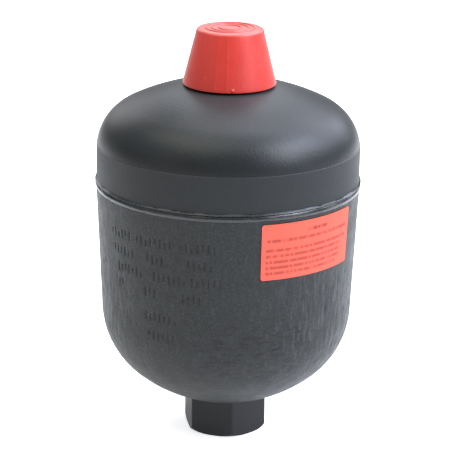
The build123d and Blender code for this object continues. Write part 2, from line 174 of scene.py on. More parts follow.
def only(piece):
    """Selects one piece and nothing else."""
    bpy.ops.object.select_all(action="DESELECT")
    piece.select_set(True)
    bpy.context.view_layer.objects.active = piece


def drawn(name, points):
    """A line of edges through (radius, height) points, drawn by extruding one vertex."""
    piece = start_piece(bpy.ops.mesh.primitive_plane_add, name, size=MM)
    bpy.ops.mesh.merge(type="CENTER")
    bpy.ops.transform.translate(value=(points[0][0], 0, points[0][1]))
    for start, end in zip(points, points[1:]):
        step = (end[0] - start[0], 0, end[1] - start[1])
        bpy.ops.mesh.extrude_region_move(TRANSFORM_OT_translate={"value": step})
    bpy.ops.mesh.select_all(action="SELECT")
    return piece


def close_up():
    """Merges what meets and turns the faces outwards, in edit mode, and leaves edit mode."""
    bpy.ops.mesh.select_all(action="SELECT")
    bpy.ops.mesh.remove_doubles(threshold=MERGE)
    bpy.ops.mesh.normals_make_consistent(inside=False)
    bpy.ops.object.mode_set(mode="OBJECT")


def turned(name, outline, segments):
    """A piece spun about the axis from a closed (radius, height) outline."""
    piece = drawn(name, outline + outline[:1])
    bpy.ops.mesh.spin(steps=segments, angle=2 * pi, center=(0, 0, 0), axis=(0, 0, 1))
    close_up()
    return piece


def add_modifier(piece, kind, **settings):
    """Puts a modifier on a piece and applies it."""
    only(piece)
    modifier = piece.modifiers.new(kind.lower(), kind)
    for name, value in settings.items():
        setattr(modifier, name, value)
    bpy.ops.object.modifier_apply(modifier=modifier.name)


def combine(piece, tool, operation):
    """Cuts a tool out of a piece or welds it on, and throws the tool away."""
    add_modifier(piece, "BOOLEAN", operation=operation, object=tool, solver="EXACT")
    bpy.data.objects.remove(tool)


def select_where(piece, kind, wanted):
    """Opens a piece in edit mode with only the faces or edges selected that pass a test."""
    only(piece)
    bpy.ops.object.mode_set(mode="EDIT")
    bpy.ops.mesh.select_mode(type=kind)
    bpy.ops.mesh.select_all(action="DESELECT")
    bpy.ops.object.mode_set(mode="OBJECT")
    for part in piece.data.polygons if kind == "FACE" else piece.data.edges:
        part.select = wanted(part)
    bpy.ops.object.mode_set(mode="EDIT")


def inset_faces(piece, wanted, thickness, depth, **settings):
    """Insets the faces of a piece that pass a test, and raises or sinks them."""
    select_where(piece, "FACE", wanted)
    bpy.ops.mesh.inset(thickness=thickness, depth=depth, **settings)
    bpy.ops.object.mode_set(mode="OBJECT")


def open_whole(piece):
    """Opens a piece in edit mode with all of it selected."""
    only(piece)
    bpy.ops.object.mode_set(mode="EDIT")
    bpy.ops.mesh.select_all(action="SELECT")


def merged_copy(node, name):
    """A new piece with a CAD node's shape, its loose triangles merged."""
    piece = bpy.data.objects.new(name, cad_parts[node].data.copy())
    bpy.context.collection.objects.link(piece)
    piece.data.materials.clear()
    only(piece)
    bpy.ops.mesh.customdata_custom_splitnormals_clear()
    open_whole(piece)
    bpy.ops.mesh.remove_doubles(threshold=MERGE)
    bpy.ops.object.mode_set(mode="OBJECT")
    return piece


def azimuth(point):
    """Degrees from -Y towards +X."""
    return degrees(atan2(point.x, -point.y))


def fade(value, start, end):
    """0 at start, 1 at end and smooth between them."""
    t = min(1.0, max(0.0, (value - start) / (end - start)))
    return t * t * (3 - 2 * t)


def lumps(at, across, up):
    """A noise from 0 to 1 at a place, in lumps of a given width and height and two finer layers."""
    where = Vector((at.x / across, at.y / across, at.z / up))
    fading, finer, layers = 1.0, 2.0, 3
    return min(1.0, max(0.0, 0.5 + 0.5 * noise.fractal(where, fading, finer, layers)))


def sink(piece, depth):
    """Sinks each vertex of a piece along its normal by the depth that its place gives."""
    depths = [depth(vertex.co) for vertex in piece.data.vertices]
    deepest = max(depths)
    group = piece.vertex_groups.new(name="depth")
    for vertex, value in zip(piece.data.vertices, depths):
        group.add([vertex.index], value / deepest, "REPLACE")
    add_modifier(piece, "DISPLACE", strength=-deepest, mid_level=0.0, vertex_group=group.name)
    piece.vertex_groups.clear()


def smooth(piece, edge_angle):
    """Shades a piece smooth, apart from the edges that bend by more than an angle in degrees."""
    only(piece)
    bpy.ops.object.shade_smooth_by_angle(angle=radians(edge_angle))


# ---------------------------------------------------------------- shader graphs

class Value:
    """A shader socket that Python's arithmetic can use."""

    def __init__(self, graph, socket):
        self.graph = graph
        self.socket = socket

    def output(self, name):
        """Another output of the same node."""
        return Value(self.graph, self.socket.node.outputs[name])

    def math(self, operation, *others):
        """A Math node with this value as its first input."""
        inputs = dict(enumerate((self, *others)))
        return self.graph.node("ShaderNodeMath", {"operation": operation}, inputs)

    def __add__(self, other):
        return self.math("ADD", other)

    def __sub__(self, other):
        return self.math("SUBTRACT", other)

    def __mul__(self, other):
        return self.math("MULTIPLY", other)

    def __truediv__(self, other):
        return self.math("DIVIDE", other)

    def __rsub__(self, other):
        return self.graph.node("ShaderNodeMath", {"operation": "SUBTRACT"}, {0: other, 1: self})

    def __neg__(self):
        return self * -1.0

    __radd__ = __add__
    __rmul__ = __mul__


# Sockets of a Mix node that mixes colours
MIX_FACTOR, MIX_FIRST, MIX_SECOND, MIX_RESULT = 0, 6, 7, 2
NOISE_MIDDLE = (0.3, 0.7)    # most of a noise lies between these values


class Graph:
    """The node graph of one finish, round its Principled shader."""

    def __init__(self, name, **constants):
        self.material = bpy.data.materials.new(name)
        self.material.use_nodes = True
        self.tree = self.material.node_tree
        self.shader = self.tree.nodes["Principled BSDF"]
        self.place = self.node("ShaderNodeTexCoord", {}, {}, "Object")
        for socket, value in constants.items():
            self.shader.inputs[socket.replace("_", " ")].default_value = value

    def node(self, kind, settings, inputs, output=0):
        """One node: its settings first, then the values or links of its sockets."""
        node = self.tree.nodes.new(kind)
        for name, value in settings.items():
            setattr(node, name, value)
        for name, value in inputs.items():
            self.feed(node.inputs[name], value)
        return Value(self, node.outputs[output])

    def feed(self, socket, value):
        """Links a value to a socket or sets a constant on it."""
        if isinstance(value, Value):
            self.tree.links.new(value.socket, socket)
        else:
            socket.default_value = value

    def surface(self, **sockets):
        """Feeds the Principled shader and gives the finished material."""
        for name, value in sockets.items():
            self.feed(self.shader.inputs[name.replace("_", " ")], value)
        return self.material

    def axes(self):
        """The three coordinates of the place on the piece."""
        x = self.node("ShaderNodeSeparateXYZ", {}, {"Vector": self.place}, "X")
        return x, x.output("Y"), x.output("Z")

    def radius_and_height(self):
        """How far from the vessel's axis and how high the place on the piece is."""
        x, y, z = self.axes()
        return (x * x + y * y).math("SQRT"), z

    def near_axis(self, low, high):
        """1 nearer the vessel's axis than the low radius, 0 beyond the high one."""
        radius, _ = self.radius_and_height()
        return 1 - self.ramp(radius, low, high)

    def attribute(self, name):
        """A share from 0 to 1 that the mesh holds."""
        return self.node("ShaderNodeAttribute", {"attribute_name": name}, {}, "Fac")

    def noise(self, grain, detail=3.0, rough=0.55, stretch=(1, 1, 1)):
        """A noise from 0 to 1 whose lumps are about one grain across."""
        scale = tuple(1 / part for part in stretch)
        where = self.node("ShaderNodeMapping", {}, {"Vector": self.place, "Scale": scale})
        sockets = {"Vector": where, "Scale": 1 / grain, "Detail": detail, "Roughness": rough}
        return self.node("ShaderNodeTexNoise", {}, sockets)

    def ramp(self, value, low, high, start=0.0, end=1.0):
        """A smooth change from start to end as a value goes from low to high."""
        sockets = {"Value": value, "From Min": low, "From Max": high, "To Min": start, "To Max": end}
        return self.node("ShaderNodeMapRange", {"interpolation_type": "SMOOTHSTEP"}, sockets)

    def spread(self, noise, start, end):
        """A smooth change from start to end over the middle of a noise."""
        return self.ramp(noise, *NOISE_MIDDLE, start, end)

    def mix(self, factor, first, second):
        """A colour between two others."""
        sockets = {MIX_FACTOR: factor, MIX_FIRST: first, MIX_SECOND: second}
        return self.node("ShaderNodeMix", {"data_type": "RGBA"}, sockets, MIX_RESULT)

    def bump(self, height, distance):
        """A normal tilted by a height from 0 to 1 that stands for that distance."""
        return self.node("ShaderNodeBump", {}, {"Height": height, "Distance": distance}, "Normal")


def rgb(red, green, blue):
    """A colour with full alpha."""
    return (red, green, blue, 1.0)


# Painted light: the dome's paint turns a paler grey near the boss, standing in for the light that the
# cap's shade takes away there
BOSS_FILL_LIGHT_RADII = (38 * MM, 19 * MM)        # the dome grows paler from the first radius to the second
BAND_BLEND = 0.2 * MM


def upper_paint():
    """Smooth satin black paint with a fine orange peel, with painted fill light near the boss, and
    duller on the band.
    """
    graph = Graph("upper_shell_paint", Specular_IOR_Level=0.29)
    radius, z = graph.radius_and_height()
    peel = graph.noise(0.9 * MM, 2.0, 0.55)
    drift = graph.noise(25 * MM, 2.0, 0.5)
    paint = graph.mix(drift, rgb(0.008, 0.009, 0.010), rgb(0.012, 0.013, 0.014))
    # painted fill light: paler paint round the boss, where the cap shades the dome
    colour = graph.mix(graph.ramp(radius, *BOSS_FILL_LIGHT_RADII) * 0.8, paint, rgb(0.030, 0.031, 0.033))
    on_band = graph.ramp(z, BAND_TOP_Z, BAND_TOP_Z - BAND_BLEND)
    rough = graph.spread(drift, 0.36, 0.41) + on_band * 0.2
    return graph.surface(Base_Color=colour, Roughness=rough, Normal=graph.bump(peel, 0.08 * MM))


def lower_paint():
    """Matter black paint over the rough, streaked skin of a forging, with painted shade in the punched
    marks.
    """
    graph = Graph("lower_shell_paint", Specular_IOR_Level=0.27)
    speck = graph.noise(0.8 * MM, 3.0, 0.65)
    mottle = graph.noise(6 * MM, 4.0, 0.6)
    streak = graph.noise(1.3 * MM, 4.0, 0.65, (1, 1, 7))
    smear = graph.noise(4.5 * MM, 4.0, 0.65, (1, 1, 0.4))
    drawn_out = graph.attribute("streaked")
    scuffed = graph.attribute("smeared")
    colour = graph.mix(mottle, rgb(0.008, 0.009, 0.009), rgb(0.013, 0.014, 0.014))
    layers = {
        "pits": (graph.ramp(speck, 0.48, 0.32) * 0.7, rgb(0.004, 0.004, 0.004)),
        "grain": (graph.ramp(speck, 0.50, 0.76) * 0.7, rgb(0.037, 0.039, 0.040)),
        "dark lines": (graph.ramp(streak, 0.50, 0.63) * drawn_out, rgb(0.005, 0.005, 0.006)),
        "pale lines": (graph.ramp(streak, 0.47, 0.34) * drawn_out * 0.5, rgb(0.060, 0.062, 0.064)),
        "smudges": (graph.ramp(smear, 0.48, 0.60) * scuffed, rgb(0.004, 0.004, 0.005)),
        # painted shade: the dents of the punched marks are darkened where shade falls in them
        "marks": (graph.attribute("punch_mark_shade") * 0.55, rgb(0.002, 0.002, 0.002)),
    }
    for share, tone in layers.values():
        colour = graph.mix(share, colour, tone)
    rough = graph.spread(mottle, 0.46, 0.56)
    height = speck + streak * drawn_out * 0.8 + mottle * 0.6
    return graph.surface(Base_Color=colour, Roughness=rough, Normal=graph.bump(height, 0.17 * MM))


def weld_paint():
    """Black paint over weld metal."""
    graph = Graph("weld_bead_paint", Specular_IOR_Level=0.38)
    ripple = graph.noise(1.4 * MM, 3.0, 0.6)
    colour = graph.mix(ripple, rgb(0.012, 0.013, 0.014), rgb(0.020, 0.021, 0.022))
    rough = graph.spread(ripple, 0.20, 0.30)
    return graph.surface(Base_Color=colour, Roughness=rough, Normal=graph.bump(ripple, 0.02 * MM))


def painted_steel(name, specular, bare_to, grain, drift, paints, steel, roughs):
    """Black paint outside, bare steel nearer the axis than the first radius of bare_to."""
    graph = Graph(name, Specular_IOR_Level=specular)
    bare = graph.near_axis(*bare_to)
    fine = graph.noise(*grain)
    cloud = graph.noise(*drift)
    colour = graph.mix(bare, graph.mix(cloud, *paints), steel)
    rough = graph.spread(cloud, *roughs)
    normal = graph.bump(fine, 0.02 * MM)
    return graph.surface(Base_Color=colour, Roughness=rough, Metallic=bare, Normal=normal)


def port_paint():
    """Smooth black paint over a turned and milled hexagon, worn to steel in the thread."""
    return painted_steel(
        "oil_port_paint",
        specular=0.16,
        bare_to=(THREAD_ROOT_RADIUS, THREAD_ROOT_RADIUS + 0.2 * MM),
        grain=(0.7 * MM, 3.0, 0.55),
        drift=(9 * MM, 2.0, 0.5),
        paints=(rgb(0.017, 0.017, 0.018), rgb(0.024, 0.024, 0.026)),
        steel=rgb(0.38, 0.37, 0.35),
        roughs=(0.42, 0.50),
    )


def boss_paint():
    """Black paint on the boss, bare turned steel in its recess and bore."""
    return painted_steel(
        "gas_boss_paint",
        specular=0.5,
        bare_to=(SCREW_RADIUS + 0.5 * MM, SCREW_RADIUS + 1.2 * MM),
        grain=(0.8 * MM, 3.0, 0.6),
        drift=(0.8 * MM, 3.0, 0.6),
        paints=(rgb(0.026, 0.027, 0.028), rgb(0.042, 0.043, 0.044)),
        steel=rgb(0.45, 0.44, 0.42),
        roughs=(0.32, 0.45),
    )


def turned_steel(name, base, groove, rough_low, rough_high, stain):
    """Steel with the fine rings that a lathe leaves, and a little stain."""
    graph = Graph(name)
    radius, z = graph.radius_and_height()
    rings = ((radius + z) * (2 * pi / groove)).math("SINE") * 0.5 + 0.5
    cloud = graph.noise(4 * MM, 4.0, 0.6)
    dark = tuple(part * stain for part in base)
    colour = graph.mix(graph.ramp(cloud, 0.35, 0.7), rgb(*dark), rgb(*base))
    rough = graph.spread(cloud, rough_high, rough_low)
    normal = graph.bump(rings * 0.5 + cloud * 0.3, 0.012 * MM)
    return graph.surface(Base_Color=colour, Roughness=rough, Metallic=1.0, Normal=normal)


def rubber(name, tone, grain):
    """Moulded nitrile rubber with a faint bloom."""
    graph = Graph(name, Specular_IOR_Level=0.35)
    bloom = graph.noise(grain * 9, 3.0, 0.55)
    fine = graph.noise(grain, 2.0, 0.5)
    pale = tone * 1.8
    bloomed = graph.ramp(bloom, 0.4, 0.7)
    colour = graph.mix(bloomed, rgb(tone, tone, tone * 1.04), rgb(pale, pale, pale))
    rough = graph.spread(bloom, 0.52, 0.66)
    return graph.surface(Base_Color=colour, Roughness=rough, Normal=graph.bump(fine, 0.02 * MM))


# Painted sheen: the cap's top face is painted paler, standing in for the sheen of the lights above it
CAP_TOP_SHEEN_FADE = (1.3 * MM, 0.5 * MM)    # the top face turns paler so far under the cap's highest point


def cap_plastic():
    """Satin red moulded plastic with faint drawing marks down its cone, a few scuffs and a painted
    sheen on its top face.
    """
    graph = Graph("pull_off_cap_plastic", Specular_IOR_Level=0.42)
    draw_marks = graph.noise(0.8 * MM, 3.0, 0.6, (1, 1, 14))
    cloud = graph.noise(7 * MM, 3.0, 0.55)
    scuffs = graph.ramp(graph.noise(1.3 * MM, 4.0, 0.65, (1, 1, 3)), 0.66, 0.76)
    red = graph.mix(cloud, rgb(0.40, 0.022, 0.014), rgb(0.47, 0.033, 0.023))
    _, z = graph.radius_and_height()
    top_sheen = graph.ramp(z, *(CAP_HIGH.z - below for below in CAP_TOP_SHEEN_FADE))
    # painted highlight: the top face mixed towards a paler red
    paler = graph.mix(top_sheen * 0.6, red, rgb(0.48, 0.11, 0.092))
    colour = graph.mix(scuffs * 0.35, paler, rgb(0.92, 0.26, 0.20))
    rough = graph.spread(draw_marks, 0.34, 0.46)
    height = draw_marks * 0.7 + cloud * 0.3
    return graph.surface(Base_Color=colour, Roughness=rough, Normal=graph.bump(height, 0.03 * MM))


LABEL_TURNS = (radians(14.4), radians(63.2))
# Plain rules on the label, in shares of its size: middle, height, start, end, and how dark each is
LABEL_RULES = (
    (0.165, 0.060, 0.44, 0.66, 0.75),
    (0.300, 0.058, 0.05, 0.95, 0.62),
    (0.470, 0.054, 0.04, 0.94, 0.62),
    (0.575, 0.054, 0.04, 0.88, 0.62),
    (0.680, 0.054, 0.04, 0.90, 0.62),
    (0.782, 0.054, 0.04, 0.86, 0.62),
    (0.882, 0.054, 0.04, 0.80, 0.62),
)
RULE_EDGE = (0.35, 0.60)     # a rule fades out between these shares of its height from its middle
RULE_END = 0.004             # and over this share of the label's width on either side of its ends
RULE_CELLS = 52.0            # the finest break in a rule is one such share of the label's width
RULE_SHIFT = 97              # sets the breaks of one rule apart from those of the next
RULE_TONE = (0.10, 0.45, 0.35, 1.0)    # how a cell's random number becomes its tone


def label_film():
    """Matt orange-red film printed with plain broken rules."""
    graph = Graph("printed_film", Specular_IOR_Level=0.04)
    x, y, z = graph.axes()
    first, last = LABEL_TURNS
    along = (x.math("ARCTAN2", -y) - first) / (last - first)
    down = (LABEL_HIGH.z - z) / (LABEL_HIGH.z - LABEL_LOW.z)
    ink = along * 0.0
    for middle, height, start, end, strength in LABEL_RULES:
        offset = (down - middle).math("ABSOLUTE")
        row = 1 - graph.ramp(offset, *(height * share for share in RULE_EDGE))
        begun = graph.ramp(along, start - RULE_END, start + RULE_END)
        over = graph.ramp(along, end - RULE_END, end + RULE_END)
        cell = (along * RULE_CELLS + middle * RULE_SHIFT).math("FLOOR")
        pick = graph.node("ShaderNodeTexWhiteNoise", {"noise_dimensions": "1D"}, {"W": cell})
        ink = ink + row * (begun * (1 - over)) * graph.ramp(pick, *RULE_TONE) * strength
    fibre = graph.noise(0.5 * MM, 2.0, 0.5)
    cloud = graph.noise(9 * MM, 2.0, 0.5)
    film = graph.mix(cloud, rgb(0.585, 0.090, 0.062), rgb(0.625, 0.104, 0.072))
    colour = graph.mix(ink, film, rgb(0.16, 0.030, 0.026))
    rough = graph.spread(cloud, 0.58, 0.66)
    return graph.surface(Base_Color=colour, Roughness=rough, Normal=graph.bump(fibre, 0.01 * MM))


# ---------------------------------------------------------------- pieces

# Bends sharper than this, in degrees, stay edges when a piece is shaded smooth
DOME_EDGE = 30
FORGING_EDGE = 50
WELD_EDGE = 60
THREAD_EDGE = 35
CAP_EDGE = 28
RUBBER_EDGE = 40


def install(piece, material, body, node, edge_angle):
    """Finishes a piece: shading, material, the body it rides on and the node it stands for."""
    smooth(piece, edge_angle)
    piece.data.materials.append(material)
    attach(piece, body)
    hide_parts(node)


BAND_TOP_Z = SEAM_Z + 16.55 * MM       # the turned band ends in a small edge under the pressed dome
BAND_EDGE = 0.13 * MM
SCRIBE_Z = SEAM_Z + 8.4 * MM
SCRIBE_WIDTH = 0.25 * MM
SCRIBE_WALL = SCRIBE_WIDTH / 5
SCRIBE_DEPTH = 0.05 * MM
SCRIBE_TURNS = (24.0, 78.0)


def upper_shell(paint):
    """The gas half: a smooth pressed dome over a turned band with a faint scribed line."""
    outside = [(SHELL_RADIUS, BEAD_HIGH.z)]
    stops = (BEAD_HIGH.z, SCRIBE_Z - SCRIBE_WIDTH / 2, SCRIBE_Z + SCRIBE_WIDTH / 2, BAND_TOP_Z)
    for low, high in zip(stops, stops[1:]):
        outside += between((SHELL_RADIUS, low), (SHELL_RADIUS, high), DOME_STEP)
    dome_start = BAND_TOP_Z + BAND_EDGE
    outside.append((UPPER.knuckle_radius(dome_start), dome_start))
    dome = UPPER.line(BEAD_HIGH.z, BOSS_SEAT_RADIUS, DOME_STEP)
    outside += [point for point in dome if point[1] > dome_start + BAND_EDGE]
    seat_z = UPPER.crown_z(BOSS_SEAT_RADIUS)
    hole = between((BOSS_SEAT_RADIUS, seat_z), (BOSS_HOLE_RADIUS, seat_z), INSIDE_STEP)
    inside = UPPER.line(RUBBER_TOP_Z, BOSS_HOLE_RADIUS, INSIDE_STEP, WALL)
    rim = [(SEAT_RADIUS, RUBBER_TOP_Z), (SEAT_RADIUS, SEAM_Z), (ROOT_RADIUS, SEAM_Z)]
    piece = turned("upper_shell_pressing", outside + hole + inside[::-1] + rim, UPPER_SEGMENTS)

    def scribed(face):
        """The outside faces that the scribed line runs along."""
        at = face.center
        in_reach = SCRIBE_TURNS[0] < azimuth(at) < SCRIBE_TURNS[1]
        return in_reach and abs(at.z - SCRIBE_Z) < SCRIBE_WIDTH / 2 and at.xy.length > ROOT_RADIUS

    inset_faces(piece, scribed, SCRIBE_WALL, -SCRIBE_DEPTH)
    install(piece, paint, "vessel", "upper_shell", DOME_EDGE)


# The forging's skin in layers: how deep each is, and how wide and how high its lumps are
SWELL_DEPTH, SWELL_SIZE = 0.06 * MM, (6 * MM, 8 * MM)
GRAIN_DEPTH, GRAIN_SIZE = 0.10 * MM, (1.8 * MM, 1.8 * MM)
STREAK_DEPTH, STREAK_SIZE = 0.20 * MM, (1.9 * MM, 14 * MM)
PIT_DEPTH, PIT_SIZE = 0.16 * MM, (2.3 * MM, 4.5 * MM)
PIT_NOISE = (0.26, 0.12)     # a pit opens as the noise falls from the first value to the second
PIT_LEAST = 0.3              # how strong the pits are where the skin has no streaks
SKIN_FROM_WELD = (0.5 * MM, 9 * MM)    # the skin starts and is full so far from the weld
SKIN_FROM_PORT = (1 * MM, 12 * MM)     # and so far from the port

# Patches of the skin: the azimuths, then the heights, where each starts, is full, ebbs and ends
RIGHT_STREAKS = ((6, 42, 120, 150), (26 * MM, 44 * MM, 72 * MM, 92 * MM))
LEFT_STREAKS = ((-150, -120, -56, -36), (26 * MM, 40 * MM, 76 * MM, 96 * MM))
STREAK_LEAST = 0.15
SMEARS = ((-22, 0, 34, 60), (34 * MM, 44 * MM, 58 * MM, 70 * MM))

# Rows of punched marks: how far below the seam, and the azimuths where each group starts and ends
PUNCHED_ROWS = (
    (13.1, ((-59, -45), (-42, -24), (-20, -5))),
    (20.6, ((-57, -44), (-36, -27), (-17, -5))),
    (27.6, ((-55, -38), (-33, -18), (-15, -2))),
    (34.6, ((-55, -50), (-38, -32), (-19, -10))),
    (45.6, ((-38, -21),)),
    (53.3, ((-36, -22),)),
)
PUNCH_HEIGHT = 5             # a full tick is so many faces high
PUNCH_SPACING = 3            # from one tick to the next, in faces
# What each strike leaves, top face first: a plain upright tick, long, high, low or short
PUNCH_STRIKES = ("11111", "01111", "11110", "11111", "01110", "11111", "00111", "11111", "11100")
PUNCH_DEPTH = 0.17 * MM
PUNCH_WALL = 0.16 * MM
# PUNCH_FADE and PUNCH_LOSS weaken only the painted shade in the marks, not their depth
PUNCH_FADE = (-46, -20)      # the marks weaken from the first azimuth to the second
PUNCH_LOSS = 0.6


def in_patch(at, patch):
    """1 well inside a patch of the skin, 0 outside it and smooth between them."""
    share = 1.0
    for value, (start, full, ebb, end) in zip((azimuth(at), at.z), patch):
        share *= fade(value, start, full) * (1 - fade(value, ebb, end))
    return share


def streaked(at):
    """How strongly the forging's skin is drawn out into upright streaks at a place."""
    return max(in_patch(at, RIGHT_STREAKS), in_patch(at, LEFT_STREAKS), STREAK_LEAST)


def smeared(at):
    """How strongly the skin is scuffed across, low on the middle of the front."""
    return in_patch(at, SMEARS)


def skin(at):
    """1 on the rough outside of the lower shell, 0 inside it, at its rim and at the port."""
    radius = at.xy.length
    if at.z > LOWER.wall_end().y:
        outer = radius > LOWER.wall_radius(at.z) - WALL / 2
    elif radius > LOWER.knuckle_centre.x + LOWER.knuckle * cos(LOWER.bend):
        from_knuckle = (Vector((radius, at.z)) - LOWER.knuckle_centre).length
        outer = from_knuckle > LOWER.knuckle - WALL / 2
    else:
        outer = at.z < LOWER.crown_z(radius) + WALL / 2
    weld_share = fade(BEAD_LOW.z - at.z, *SKIN_FROM_WELD)
    port_share = fade(radius - PORT_SEAT_RADIUS, *SKIN_FROM_PORT)
    return outer * weld_share * port_share


def roughness(at):
    """Depth of the forging's skin at a place: a low swell, a grain, streaks and a few pits."""
    drawn_out = streaked(at)
    depth = SWELL_DEPTH * lumps(at, *SWELL_SIZE) + GRAIN_DEPTH * lumps(at, *GRAIN_SIZE)
    depth += STREAK_DEPTH * drawn_out * lumps(at, *STREAK_SIZE)
    depth += PIT_DEPTH * (PIT_LEAST + drawn_out) * fade(lumps(at, *PIT_SIZE), *PIT_NOISE)
    return skin(at) * depth


def punched(face):
    """The outside faces of the lower shell where the marking punch has struck."""
    at, turn = face.center, azimuth(face.center)
    if at.xy.length < LOWER.wall_radius(at.z) - WALL / 2:
        return False
    for below, groups in PUNCHED_ROWS:
        row = (SEAM_Z - at.z - below * MM) / SKIN_STEP + PUNCH_HEIGHT / 2
        if not 0 <= row < PUNCH_HEIGHT:
            continue
        for start, end in groups:
            column = int((turn - start) * LOWER_SEGMENTS / 360)
            if start <= turn < end and column % PUNCH_SPACING == 0:
                strike = PUNCH_STRIKES[(column // PUNCH_SPACING + int(below)) % len(PUNCH_STRIKES)]
                return strike[int(row)] == "1"
    return False


def lower_shell(paint):
    """The oil half: a drafted forging with a rough skin, streaks, pits and rows of punched marks."""
    outside = LOWER.line(BEAD_LOW.z, PORT_SEAT_RADIUS, SKIN_STEP)
    hole = [(PORT_HOLE_RADIUS, LOWER_BOTTOM_Z)]
    inside = LOWER.line(RING_BOTTOM_Z, PORT_HOLE_RADIUS, INSIDE_STEP, WALL)
    rim = [(SEAT_RADIUS, RING_BOTTOM_Z), (SEAT_RADIUS, SEAM_Z), (ROOT_RADIUS, SEAM_Z)]
    piece = turned("lower_shell_forging", outside + hole + inside[::-1] + rim, LOWER_SEGMENTS)
    sink(piece, roughness)
    inset_faces(piece, punched, PUNCH_WALL, -PUNCH_DEPTH, use_individual=True)
    # How strong the painted shade in each punched mark is
    struck = piece.data.attributes.new("punch_mark_shade", "FLOAT", "POINT")
    for face in piece.data.polygons:
        if face.select:
            strength = 1.0 - PUNCH_LOSS * fade(azimuth(face.center), *PUNCH_FADE)
            for corner in face.vertices:
                struck.data[corner].value = strength
    for name, share in (("streaked", streaked), ("smeared", smeared)):
        layer = piece.data.attributes.new(name, "FLOAT", "POINT")
        for vertex in piece.data.vertices:
            layer.data[vertex.index].value = share(vertex.co)
    install(piece, paint, "vessel", "lower_shell", FORGING_EDGE)


BEAD_SEGMENTS = 640
BEAD_STEP = 0.16 * MM
BEAD_CREASE = Vector((BEAD_HIGH.x - 0.5 * MM, SEAM_Z + 0.65 * MM))
BEAD_FULLNESS = 0.8          # the power of the sine that gives a pass its section
BEAD_TOE = (0.05 * MM, 0.35 * MM)      # the ripples start and are full so far off the shell
# The ripples on the bead: how deep, wide and high the coarse and the fine ones are
BEAD_RIPPLES = ((0.20 * MM, 7 * MM, 1.4 * MM), (0.02 * MM, 1.3 * MM, 1.6 * MM))


def seam_weld(paint):
    """The girth weld: two narrow rounded passes with a crease between them, uneven as welds are."""
    toe_low = Vector((LOWER.wall_radius(BEAD_LOW.z), BEAD_LOW.z))
    toe_high = Vector((SHELL_RADIUS, BEAD_HIGH.z))
    outline = [(ROOT_RADIUS, SEAM_Z), tuple(toe_low)]
    for start, end in ((toe_low, BEAD_CREASE), (BEAD_CREASE, toe_high)):
        rise = BEAD_HIGH.x - (start.x + end.x) / 2
        count = round((end - start).length / BEAD_STEP)
        for n in range(1, count + 1):
            share = n / count
            on_chord = start.lerp(end, share)
            outline.append((on_chord.x + rise * sin(pi * share) ** BEAD_FULLNESS, on_chord.y))
    piece = turned("girth_weld_bead", outline, BEAD_SEGMENTS)

    def unevenness(at):
        """Depth of the ripples on the bead's face."""
        ripples = sum(depth * lumps(at, across, up) for depth, across, up in BEAD_RIPPLES)
        return ripples * fade(at.xy.length - SHELL_RADIUS, *BEAD_TOE)

    sink(piece, unevenness)
    install(piece, paint, "vessel", "seam_weld", WELD_EDGE)


FILLET_ROOT_STEP = 0.9 * MM
FILLET_FACE_STEP = 0.25 * MM
FILLET_TOE = (0.05 * MM, 0.4 * MM)     # the ripples start and are full so far off the dome
FILLET_FOOT = (0.0, 0.4 * MM)          # and so far off the boss
FILLET_RIPPLE_DEPTH, FILLET_RIPPLE = 0.25 * MM, 1.5 * MM


def boss_weld(paint):
    """The fillet weld round the foot of the boss, with its ripples."""
    toe_radius = BOSS_WELD_HIGH.x
    toe = (toe_radius, UPPER.crown_z(toe_radius))
    top = (BOSS_SEAT_RADIUS, BOSS_WELD_HIGH.z)
    root = (BOSS_SEAT_RADIUS, UPPER.crown_z(BOSS_SEAT_RADIUS))
    outline = [root] + between(root, toe, FILLET_ROOT_STEP) + between(toe, top, FILLET_FACE_STEP)
    piece = turned("boss_fillet_weld", outline, UPPER_SEGMENTS)

    def unevenness(at):
        """Depth of the ripples on the fillet's face."""
        radius = at.xy.length
        off_dome = fade(at.z - UPPER.crown_z(min(radius, toe_radius)), *FILLET_TOE)
        off_boss = fade(radius - BOSS_SEAT_RADIUS, *FILLET_FOOT)
        return FILLET_RIPPLE_DEPTH * off_dome * off_boss * lumps(at, FILLET_RIPPLE, FILLET_RIPPLE)

    sink(piece, unevenness)
    install(piece, paint, "vessel", "gas_boss_weld", WELD_EDGE)


THREAD_STEPS = 64
THREAD_OVERCUT = 0.3         # how far a cutter reaches past the crest, as a share of the thread's depth
GROOVE_MOUTH = 0.44          # half of a groove's width at the crest and at the root, in pitches
GROOVE_ROOT = 0.08
PORT_PITCH = 1.814 * MM
THREAD_CREST_RADIUS = 9.3155 * MM
THREAD_ROOT_RADIUS = 10.4775 * MM
PORT_THREAD_END_Z = 12.6 * MM
BOSS_PITCH = 1.5 * MM
BOSS_THREAD_DEPTH = 0.92 * MM
BOSS_PLAIN_FOOT = 3.4 * MM   # from the fillet weld up to the first thread


def thread_cutter(name, crest, root, pitch, low, high):
    """A bar with a thread groove's section, wound into a helix between two heights."""
    beyond = crest + (crest - root) * THREAD_OVERCUT
    half_open, half_root = GROOVE_MOUTH * pitch, GROOVE_ROOT * pitch
    section = [
        (root, low - half_root),
        (crest, low - half_open),
        (beyond, low - half_open),
        (beyond, low + half_open),
        (crest, low + half_open),
        (root, low + half_root),
    ]
    tool = drawn(name, section + section[:1])
    bpy.ops.mesh.remove_doubles(threshold=MERGE)
    bpy.ops.object.mode_set(mode="OBJECT")
    turns = max(1, round((high - low) / pitch))
    steps = {"steps": THREAD_STEPS, "render_steps": THREAD_STEPS}
    add_modifier(tool, "SCREW", screw_offset=pitch, iterations=turns, **steps)
    open_whole(tool)
    bpy.ops.mesh.fill_holes(sides=len(section))
    close_up()
    return tool


